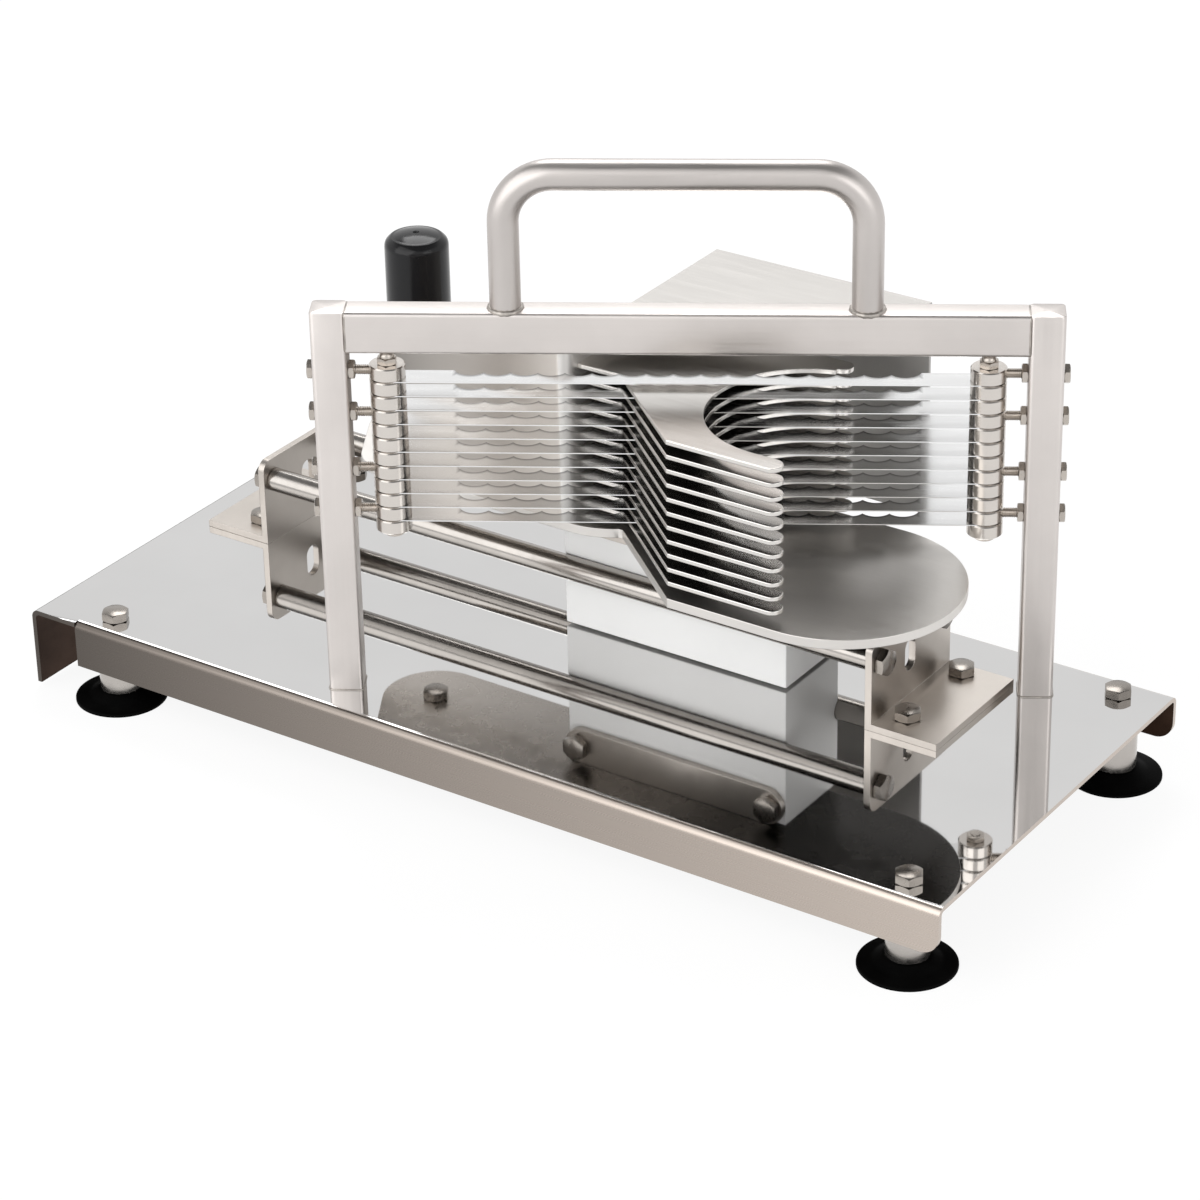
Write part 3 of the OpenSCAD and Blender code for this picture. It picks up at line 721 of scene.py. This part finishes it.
def add_floor():
    """Round pale floor: white to the camera and in mirrors, and still with a faint shadow."""
    near, far, glow_strength, glow_share = 1.5, 12, 1.04, 0.86
    points, faces = turned([(0, 0), (near, 0), (far, 0)])
    mesh = bpy.data.meshes.new("floor")
    mesh.from_pydata(points.tolist(), [], faces.tolist())
    floor = bpy.data.objects.new("floor", mesh)
    bpy.context.scene.collection.objects.link(floor)
    finish = Finish("floor", finishes().floor, metallic=0, roughness=0.9)
    finish.set("Specular IOR Level", 0)
    rays = finish.nodes.new("ShaderNodeLightPath").outputs
    seen = finish.reckon("MAXIMUM", rays["Is Camera Ray"], rays["Is Glossy Ray"])
    seen = finish.reckon("MAXIMUM", seen, rays["Is Transmission Ray"])
    glow = finish.nodes.new("ShaderNodeEmission")
    glow.inputs["Strength"].default_value = glow_strength
    mix = finish.nodes.new("ShaderNodeMixShader")
    finish.links.new(finish.reckon("MULTIPLY", seen, glow_share), mix.inputs["Fac"])
    finish.links.new(finish.shader.outputs[0], mix.inputs[1])
    finish.links.new(glow.outputs[0], mix.inputs[2])
    finish.links.new(mix.outputs[0], finish.nodes["Material Output"].inputs["Surface"])
    mesh.materials.append(finish.material)


def add_sky():
    """Even pale sky, darker high up, as in a white studio with a dim ceiling."""
    bands = ((0.0, 0.95), (0.54, 0.95), (0.76, 0.35), (1.0, 0.15))
    world = bpy.data.worlds.new("studio")
    bpy.context.scene.world = world
    world.use_nodes = True
    nodes, links = world.node_tree.nodes, world.node_tree.links
    direction = nodes.new("ShaderNodeTexCoord")
    split = nodes.new("ShaderNodeSeparateXYZ")
    ramp = nodes.new("ShaderNodeValToRGB")
    elements = ramp.color_ramp.elements
    for height, _ in bands[1:-1]:
        elements.new(height)
    for element, (_, grey) in zip(elements, bands):
        element.color = (grey, grey, grey, 1)
    links.new(direction.outputs["Generated"], split.inputs["Vector"])
    links.new(split.outputs["Z"], ramp.inputs["Fac"])
    links.new(ramp.outputs["Color"], nodes["Background"].inputs["Color"])
    nodes["Background"].inputs["Strength"].default_value = 1.0


def add_lamps():
    """Soft boxes: a key from the front left, a fill from the right and a rim light high behind."""
    aim = Vector((0, 0, 0.1))
    lamps = (
        ("key", (-0.5, -1.8, 1.2), 2.6, 30),
        ("fill", (1.9, -0.6, 0.9), 1.4, 7),
        ("rim", (-0.84, 1.21, 1.99), 1.2, 18),
    )
    for name, spot, width, power in lamps:
        light = bpy.data.lights.new(name, "AREA")
        light.size = width
        light.energy = power
        lamp = bpy.data.objects.new(name, light)
        lamp.location = spot
        lamp.rotation_euler = (aim - Vector(spot)).to_track_quat("-Z", "Y").to_euler()
        bpy.context.scene.collection.objects.link(lamp)


def add_camera():
    """Camera at the photograph's view: its place, its turn left, tilt down and roll."""
    spot = Vector((820.45, -1176.55, 826.74)) * MM
    turn, tilt, roll = math.radians(34.71), math.radians(28.156), math.radians(-1.22)
    focal_pixels, frame_pixels, sensor = 4074.4, 1200, 36
    camera = bpy.data.cameras.new("camera")
    camera.sensor_width = sensor
    camera.lens = sensor * focal_pixels / frame_pixels
    camera.clip_start = 0.05
    ahead = Vector((-math.sin(turn) * math.cos(tilt), math.cos(turn) * math.cos(tilt), -math.sin(tilt)))
    level = Vector((math.cos(turn), math.sin(turn), 0))
    upright = level.cross(ahead)
    right = level * math.cos(roll) + upright * math.sin(roll)
    above = upright * math.cos(roll) - level * math.sin(roll)
    basis = Matrix((right, above, -ahead)).transposed()
    stand = bpy.data.objects.new("camera", camera)
    stand.matrix_world = Matrix.Translation(spot) @ basis.to_4x4()
    bpy.context.scene.collection.objects.link(stand)
    bpy.context.scene.camera = stand


# Operators: the stage, then one for each piece or group of like pieces


class Undoable:
    """Lets the sidebar undo an operator in one step"""

    bl_options = {"REGISTER", "UNDO"}


class SLICER_OT_stage(Undoable, bpy.types.Operator):
    """Pale floor, soft lamps, even sky and the camera"""

    bl_idname = "slicer.stage"
    bl_label = "Studio"

    def execute(self, context):
        add_floor()
        add_sky()
        add_lamps()
        add_camera()
        context.scene.view_settings.view_transform = "Standard"
        return {"FINISHED"}


class SLICER_OT_base(Undoable, bpy.types.Operator):
    """Base sheet with rounded cut edges: polished on top, with a painted reflection on its folded outer
    sides and painted shade inside and below
    """

    bl_idname = "slicer.base"
    bl_label = "Base sheet"

    def execute(self, context):
        piece = rounded_copy("base_plate", polished_sheet(), sizes().cut_edge, BASE)
        slope, spot = each_face(piece, "normal"), each_face(piece, "center")
        side, below = slope[:, 2] < 0.95, slope[:, 2] < -0.5
        outward = (slope * spot)[:, :2].sum(1) > 0
        # The folded outer sides take the painted reflection.
        paint(piece, fold_painted_reflection(), side & outward)
        # The underside and the inner sides take the painted shade.
        paint(piece, inside_painted_shade(), below | (side & ~outward))
        return {"FINISHED"}


class SLICER_OT_feet(Undoable, bpy.types.Operator):
    """Suction cups, their metal spacers and the bolts through the base"""

    bl_idname = "slicer.feet"
    bl_label = "Feet"

    def execute(self, context):
        rim, lip, brim, hollow, spacer_edge = 19 * MM, 1.3 * MM, 2.3 * MM, 2 * MM, 0.6 * MM
        spots = corner_places("foot_cups", rim, rim)
        low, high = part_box("foot_spacers")
        post = (high.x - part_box("foot_cups")[1].x) + rim
        over = [(rim, 0), (rim, lip), (0.7 * rim, brim), (post + 0.6 * MM, low.z), (0, low.z)]
        under = [(0, hollow), (0.6 * rim, 1.2 * MM), (rim - 1.2 * MM, 0)]
        cups = repeat(turned(np.concatenate([under, soften(over, 0.9 * MM)])), spots, 0)
        add_piece("cups_dressed", cups, black_rubber(), BASE, "black_rubber", "foot_cups", sharp=50)
        spacers = repeat(turned(chamfered(post, high.z - low.z, spacer_edge)), spots, low.z)
        # The spacers' steel is painted darker, 0.85 of the turned colour, as shade and a dim
        # reflection.
        dress("foot_spacers", spacers, turned_steel("spacer steel in painted shade", 0.85), BASE, "turned_steel")
        low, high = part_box("foot_bolts")
        seat = high.z - sizes().bolt_head
        bolts = repeat(large_bolt(seat - low.z), spots, seat)
        dress("foot_bolts", bolts, bright_fastener(), BASE, "fastener_steel")
        return {"FINISHED"}


class SLICER_OT_brackets(Undoable, bpy.types.Operator):
    """Angle brackets with their bolts and nuts"""

    bl_idname = "slicer.brackets"
    bl_label = "Brackets"

    def execute(self, context):
        size = sizes()
        steel, bright = angle_steel(), bright_fastener()
        for node in ("bracket_left", "bracket_right"):
            rounded_copy(node, steel, size.cut_edge, BASE)
        low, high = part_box("bracket_bolts")
        half_y = size.bolt_flats / 2
        spots = corner_places("bracket_bolts", half_y / math.cos(TAU / 12), half_y)
        seat = high.z - size.bolt_head
        bolts = repeat(large_bolt(seat - low.z), spots, seat)
        dress("bracket_bolts", bolts, bright, BASE, "fastener_steel")
        low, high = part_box("bracket_nuts")
        nut = hex_block(size.bolt_flats, high.z - low.z, bore=size.bolt_shank / 2)
        nuts = repeat(nut, spots, high.z, -UP)
        dress("bracket_nuts", nuts, bright, BASE, "fastener_steel")
        return {"FINISHED"}


class SLICER_OT_rods(Undoable, bpy.types.Operator):
    """Guide rods and the hex screws in their ends"""

    bl_idname = "slicer.rods"
    bl_label = "Rods"

    def execute(self, context):
        size = sizes()
        rod_edge, screw_reach = 0.5 * MM, 16 * MM
        # The rods' steel is painted darker, 0.70 of the turned colour, as a dim reflection.
        steel = turned_steel("rod steel in painted reflection", 0.70)
        for node in ("rod_front", "rod_rear"):
            low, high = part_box(node)
            middle = middle_of(node)
            rod = turned(chamfered((high.z - low.z) / 2, high.x - low.x, rod_edge))
            rod = place(rod, (low.x, middle.y, middle.z), (1, 0, 0))
            dress(node, rod, steel, BASE, "turned_steel")
        low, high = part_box("rod_screws")
        z = middle_of("rod_screws").z
        screw = large_bolt(screw_reach)
        screws = []
        for y in (low.y + size.bolt_flats / 2, high.y - size.bolt_flats / 2):
            for x, way in ((low.x, -1), (high.x, 1)):
                screws.append(place(screw, (x - way * size.bolt_head, y, z), (way, 0, 0)))
        dress("rod_screws", join(screws), bright_fastener(), BASE, "fastener_steel")
        return {"FINISHED"}


class SLICER_OT_frame(Undoable, bpy.types.Operator):
    """Posts and top tube of the blade frame, with their weld seams"""

    bl_idname = "slicer.frame"
    bl_label = "Blade frame"

    def execute(self, context):
        size = sizes()
        post_steel = satin_tube("satin post", (1, 1, 40))
        rail_steel = satin_tube("satin rail", (40, 1, 1))
        along = along_frame()
        across = along.cross(UP)
        low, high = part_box("frame_rail")
        middle, rail_height = middle_of("frame_rail"), high.z - low.z
        edge, foot_drops, joint_drops = 0.5 * MM, 14, 9
        sunk = size.seam - size.seam_proud
        spin = np.array(Matrix.Rotation(size.frame_turn, 2))
        outline = rounded_box(size.post_width, size.tube_depth, size.tube_corner) @ spin.T
        loop = rounded_box(size.tube_depth - 2 * sunk, rail_height - 2 * sunk, size.tube_corner)
        seams = []
        for node, side in (("frame_post_left", 1), ("frame_post_right", -1)):
            low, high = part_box(node)
            post = middle_of(node)
            tall = high.z - low.z
            rows = [(0, 0), (0, tall - edge), (0.3 * edge, tall - 0.3 * edge), (edge, tall)]
            tube = place(carried(outline, rows), (post.x, post.y, low.z))
            dress(node, tube, post_steel, BASE, "satin_steel")
            ring = np.pad(outline, ((0, 0), (0, 1))) + (post.x, post.y, low.z)
            seams.append(bead(ring, size.seam, foot_drops, UP))
            joint = post + along * side * size.post_width / 2
            ring = np.outer(loop[:, 0], across) + np.outer(loop[:, 1], UP)
            ring += (joint.x, joint.y, middle.z)
            seams.append(bead(ring, size.seam, joint_drops, along))
        span = middle_of("frame_post_right") - middle_of("frame_post_left")
        reach = span.length - size.post_width
        outline = rounded_box(rail_height, size.tube_depth, size.tube_corner)
        rail = place(carried(outline, [(0, 0), (0, reach)]), middle - along * reach / 2, along)
        dress("frame_rail", rail, rail_steel, BASE, "satin_steel")
        add_piece("frame_seams", join(seams), weld_metal(), BASE, "satin_steel")
        return {"FINISHED"}


class SLICER_OT_handle(Undoable, bpy.types.Operator):
    """Carrying handle: one bent bar with weld beads round its feet"""

    bl_idname = "slicer.handle"
    bl_label = "Carrying handle"

    def execute(self, context):
        size = sizes()
        low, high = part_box("carry_handle")
        middle = middle_of("carry_handle")
        along = along_frame()
        half = (high.x - low.x - size.bar) / 2 / along.x
        rise = high.z - low.z - size.bar / 2
        quarter = np.linspace(0, TAU / 4, 17)
        arc = size.bend * np.stack([np.cos(quarter), np.sin(quarter)], 1)
        arc += (half - size.bend, rise - size.bend)
        arm = np.concatenate([np.linspace((half, 0), arc[0], 4)[:-1], arc])
        top = np.linspace(arm[-1], arm[-1] * (-1, 1), 12)[1:-1]
        flat = np.concatenate([arm, top, arm[::-1] * (-1, 1)])
        path = np.outer(flat[:, 0], along) + np.outer(flat[:, 1], UP) + (middle.x, middle.y, low.z)
        bar = pipe(path, size.bar / 2, along.cross(UP), steps=48)
        steel = satin_tube("satin bar", (40, 1, 40), share=0.84)
        dress("carry_handle", bar, steel, BASE, "satin_steel", sharp=60)
        angle, drops = round_about(60), 15
        circle = np.stack([np.cos(angle), np.sin(angle), 0 * angle], 1) * (size.bar / 2)
        feet = [middle + along * way * half for way in (-1, 1)]
        beads = [bead(circle + (foot.x, foot.y, low.z), size.weld, drops, UP) for foot in feet]
        add_piece("handle_welds", join(beads), weld_metal(), BASE, "satin_steel")
        return {"FINISHED"}


class SLICER_OT_blades(Undoable, bpy.types.Operator):
    """Ground finish of the wavy blades"""

    bl_idname = "slicer.blades"
    bl_label = "Blades"

    def execute(self, context):
        steel = ground_blade()
        for number in range(1, BLADES + 1):
            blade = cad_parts[f"blade_{number}"]
            blade.data.materials.clear()
            blade.data.materials.append(steel)
        return {"FINISHED"}


class SLICER_OT_stacks(Undoable, bpy.types.Operator):
    """Spacer rings between the blade ends, their pins and the nuts on them"""

    bl_idname = "slicer.stacks"
    bl_label = "Blade stacks"

    def execute(self, context):
        size = sizes()
        steel, bright = turned_steel("turned ring", 1.12), bright_fastener("plated nut", 1.7)
        _, pitch = blade_rows()
        blade_low, blade_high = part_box("blade_1")
        pin_low, pin_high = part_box("stack_pins")
        ring_height = pitch - (blade_high.z - blade_low.z)
        bore = size.screw_shank / 2
        cap_height, cap_ball = size.screw_head + 0.4 * MM, size.screw_flats / 2 - 0.6 * MM
        cap = hex_block(size.screw_flats, cap_height, dome=cap_ball)
        nut = hex_block(size.screw_flats, size.screw_head, bore=bore)
        pin = threaded(bore, pin_low.z, pin_high.z, FINE)
        caps, nuts, pins = [], [], []
        for node in ("blade_spacers_left", "blade_spacers_right"):
            low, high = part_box(node)
            x, y, _ = middle_of(node)
            section = chamfered((high.x - low.x) / 2, ring_height, size.ring_edge, bore)
            ring = turned(section, closed=True)
            rings = join([place(ring, (x, y, low.z + pitch * row)) for row in range(BLADES + 1)])
            dress(node, rings, steel, BASE, "turned_steel")
            caps.append(place(cap, (x, y, high.z)))
            nuts.append(place(nut, (x, y, low.z), -UP))
            pins.append(place(pin, (x, y, 0)))
        for node, shells in (("stack_cap_nuts", caps), ("stack_nuts", nuts), ("stack_pins", pins)):
            dress(node, join(shells), bright, BASE, "fastener_steel")
        return {"FINISHED"}


class SLICER_OT_tension(Undoable, bpy.types.Operator):
    """Tension screws through the posts and the nuts on their inner side"""

    bl_idname = "slicer.tension"
    bl_label = "Tension screws"

    def execute(self, context):
        size = sizes()
        bright = bright_fastener("plated screw", 1.7)
        # Half a blade pitch above the first, the fourth, the fourth from the top and the top blade
        lowest, pitch = blade_rows()
        heights = [lowest + (row + 0.5) * pitch for row in (0, 3, BLADES - 4, BLADES - 1)]
        bore, gap = size.screw_shank / 2, 1 * MM
        nut = hex_block(size.screw_flats, size.screw_head, bore=bore)
        screws, nuts = [], []
        for side, way in (("left", -1), ("right", 1)):
            outward = along_frame() * way
            post, stack = middle_of(f"frame_post_{side}"), middle_of(f"blade_spacers_{side}")
            outer = post + outward * size.post_width / 2
            inner = post - outward * size.post_width / 2
            reach = (outer.xy - stack.xy).length - bore - gap
            screw = hex_bolt(size.screw_flats, size.screw_head, size.screw_shank, reach, FINE)
            for height in heights:
                screws.append(place(screw, (outer.x, outer.y, height), outward))
                nuts.append(place(nut, (inner.x, inner.y, height), -outward))
        for node, shells in (("tension_screws", screws), ("tension_nuts", nuts)):
            dress(node, join(shells), bright, BASE, "fastener_steel")
        return {"FINISHED"}


class SLICER_OT_block(Undoable, bpy.types.Operator):
    """Plastic slider block with its strap and bolts"""

    bl_idname = "slicer.block"
    bl_label = "Slider block"

    def execute(self, context):
        size = sizes()
        rounded_copy("slider_block", white_plastic(), size.block_edge, CARRIAGE)
        rounded_copy("tray_strap", angle_steel(), size.cut_edge, CARRIAGE)
        low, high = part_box("strap_bolts")
        half_x = size.bolt_flats / 2
        seat, z = low.y + size.bolt_head, middle_of("strap_bolts").z
        bolt = large_bolt(high.y - low.y - size.bolt_head)
        bolts = join([place(bolt, (x, seat, z), (0, -1, 0)) for x in (low.x + half_x, high.x - half_x)])
        dress("strap_bolts", bolts, bright_fastener(), CARRIAGE, "fastener_steel")
        return {"FINISHED"}


class SLICER_OT_tray(Undoable, bpy.types.Operator):
    """Tray plate: satin on top, painted shade below"""

    bl_idname = "slicer.tray"
    bl_label = "Tray"

    def execute(self, context):
        piece = rounded_copy("tray", satin_plate(), sizes().cut_edge, CARRIAGE)
        below = each_face(piece, "normal")[:, 2] < -0.5
        paint(piece, tray_underside_painted_shade(), below)
        return {"FINISHED"}


class SLICER_OT_pusher(Undoable, bpy.types.Operator):
    """Pusher fins and the bent hand guard that carries them"""

    bl_idname = "slicer.pusher"
    bl_label = "Pusher"

    def execute(self, context):
        size = sizes()
        steel, fin_shade = brushed_sheet(), fin_underside_painted_shade()
        for number in range(1, BLADES + 1):
            fin = rounded_copy(f"fin_{number}", steel, size.fin_edge, CARRIAGE)
            below = each_face(fin, "normal")[:, 2] < -0.5
            # The fins' undersides take the painted shade between the fins.
            paint(fin, fin_shade, below)
        guard = rounded_copy("hand_guard", steel, size.cut_edge, CARRIAGE)
        slope, spot = each_face(guard, "normal"), each_face(guard, "center")
        top, underside = slope[:, 2] >= 0.85, slope[:, 2] < -0.85
        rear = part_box("hand_guard")[1].y
        rear_inside = (slope[:, 1] < -0.9) & (spot[:, 1] > rear / 2)
        inside = (slope[:, 0] > 0.15) | underside | rear_inside
        # The upright outer panels take the painted dim reflection.
        paint(guard, rolled_painted_reflection(), ~top & ~inside)
        # The inside and the bend take the painted highlight.
        paint(guard, sanded_painted_highlight(), ~top & inside)
        return {"FINISHED"}


class SLICER_OT_grip(Undoable, bpy.types.Operator):
    """Black grip with a domed cap, and its bolt from below"""

    bl_idname = "slicer.grip"
    bl_label = "Grip"

    def execute(self, context):
        low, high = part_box("grip")
        middle = middle_of("grip")
        radius, tall = (high.x - low.x) / 2, high.z - low.z
        shoulder, crown, pit, foot = 2.4 * MM, 1.6 * MM, 1.3 * MM, 6 * MM
        neck = radius - shoulder
        cap_radius, cap_seat = neck - 1 * MM, tall - crown
        side = [(0, 0), (radius - 0.2 * MM, 0), (radius, foot), (radius, cap_seat - shoulder)]
        side = soften(side + [(neck, cap_seat), (cap_radius, cap_seat)], 2 * MM, steps=9)
        # The cap is a parabola from its seat up to the rim of a small pit in its middle
        reach = pit + (cap_radius - pit) * np.linspace(1, 0, 14)[1:]
        cap = np.stack([reach, tall - crown * (reach / cap_radius) ** 2], 1)
        dimple = [(0.8 * pit, tall - 0.5 * MM), (0.6 * pit, tall - 1.4 * MM), (0, tall - 1.5 * MM)]
        grip = place(turned(np.concatenate([side, cap, dimple])), (middle.x, middle.y, low.z))
        dress("grip", grip, black_plastic(), CARRIAGE, "black_plastic", sharp=50)
        low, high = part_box("grip_bolt")
        head = sizes().bolt_head
        bolt = place(large_bolt(high.z - low.z - head), (middle.x, middle.y, low.z + head), -UP)
        dress("grip_bolt", bolt, bright_fastener(), CARRIAGE, "fastener_steel")
        return {"FINISHED"}


OPERATORS = (
    SLICER_OT_stage,
    SLICER_OT_base,
    SLICER_OT_feet,
    SLICER_OT_brackets,
    SLICER_OT_rods,
    SLICER_OT_frame,
    SLICER_OT_handle,
    SLICER_OT_blades,
    SLICER_OT_stacks,
    SLICER_OT_tension,
    SLICER_OT_block,
    SLICER_OT_tray,
    SLICER_OT_pusher,
    SLICER_OT_grip,
)


class SLICER_PT_panel(bpy.types.Panel):
    """Lists the slicer's operators, sizes and colours in the sidebar"""

    bl_idname = "SLICER_PT_panel"
    bl_label = "Tomato slicer"
    bl_space_type = "VIEW_3D"
    bl_region_type = "UI"
    bl_category = "Slicer"

    def draw(self, context):
        for operator in OPERATORS:
            self.layout.operator(operator.bl_idname)
        for group, kind in ((sizes(), SlicerSizes), (finishes(), SlicerFinishes)):
            for name in kind.__annotations__:
                self.layout.prop(group, name)


CLASSES = (SlicerSizes, SlicerFinishes, *OPERATORS, SLICER_PT_panel)


def register():
    """Makes the classes and the scene's properties known."""
    for item in CLASSES:
        bpy.utils.register_class(item)
    bpy.types.Scene.slicer_sizes = PointerProperty(type=SlicerSizes)
    bpy.types.Scene.slicer_finishes = PointerProperty(type=SlicerFinishes)


def unregister():
    """Takes the properties and the classes away again."""
    del bpy.types.Scene.slicer_finishes
    del bpy.types.Scene.slicer_sizes
    for item in reversed(CLASSES):
        bpy.utils.unregister_class(item)


def main():
    """Builds every piece."""
    register()
    for operator in OPERATORS:
        _, name = operator.bl_idname.split(".")
        getattr(bpy.ops.slicer, name)()


if __name__ == "__main__":
    main()
